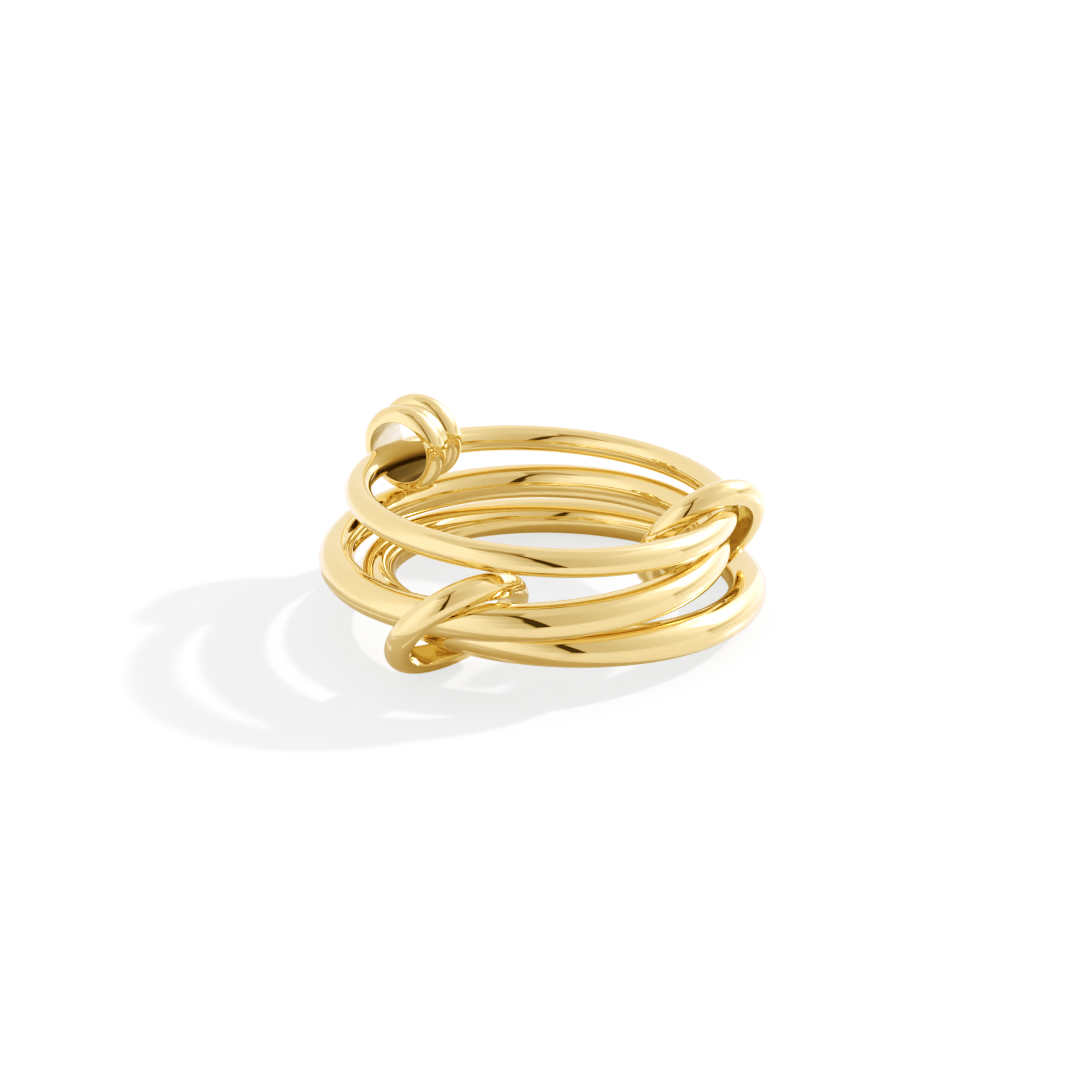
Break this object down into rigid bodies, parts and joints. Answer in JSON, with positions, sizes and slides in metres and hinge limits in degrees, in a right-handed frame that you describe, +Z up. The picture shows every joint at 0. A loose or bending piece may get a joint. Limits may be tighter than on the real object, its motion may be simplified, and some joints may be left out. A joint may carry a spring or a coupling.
{
  "type": "fidget ring",
  "caption": "Polished gold fidget ring: loose round-wire bands held side by side by small connector links, with a ribbed bead that slides on the top band.",
  "frame": {"origin": "on the surface that the ring lies on, under the middle of its outline seen from above", "axes": "+Z up out of the finger hole, +X to the right and +Y away from the viewer in the picture"},
  "size_m": [0.023, 0.0226, 0.0095],
  "materials": {
    "polished_gold": "mirror-polished pale yellow gold",
    "link_gold": "mirror-polished pale yellow gold with crisp inner rims",
    "bead_gold": "mirror-polished pale yellow gold"
  },
  "bodies": {
    "base": {"middle_band": "polished_gold", "front_link": "link_gold", "side_link": "link_gold"},
    "top": {"top_band": "polished_gold"},
    "bottom": {"bottom_band": "polished_gold"},
    "bead": {"bead": "bead_gold"}
  },
  "joints": [
    {"name": "top_band_spin", "type": "hinge", "parent": "base", "child": "top", "pos_m": [-0.00012, -0.00002, 0.00648], "axis": [0.06, 0.0478, 0.9971], "continuous": true},
    {"name": "bottom_band_spin", "type": "hinge", "parent": "base", "child": "bottom", "pos_m": [0.00092, 0.00068, 0.00166], "axis": [0.0358, 0.0619, 0.9974], "continuous": true},
    {"name": "bead_slide", "type": "hinge", "parent": "base", "child": "bead", "pos_m": [-0.00012, -0.00002, 0.00648], "axis": [0.06, 0.0478, 0.9971], "range_deg": [0, 95]}
  ]
}
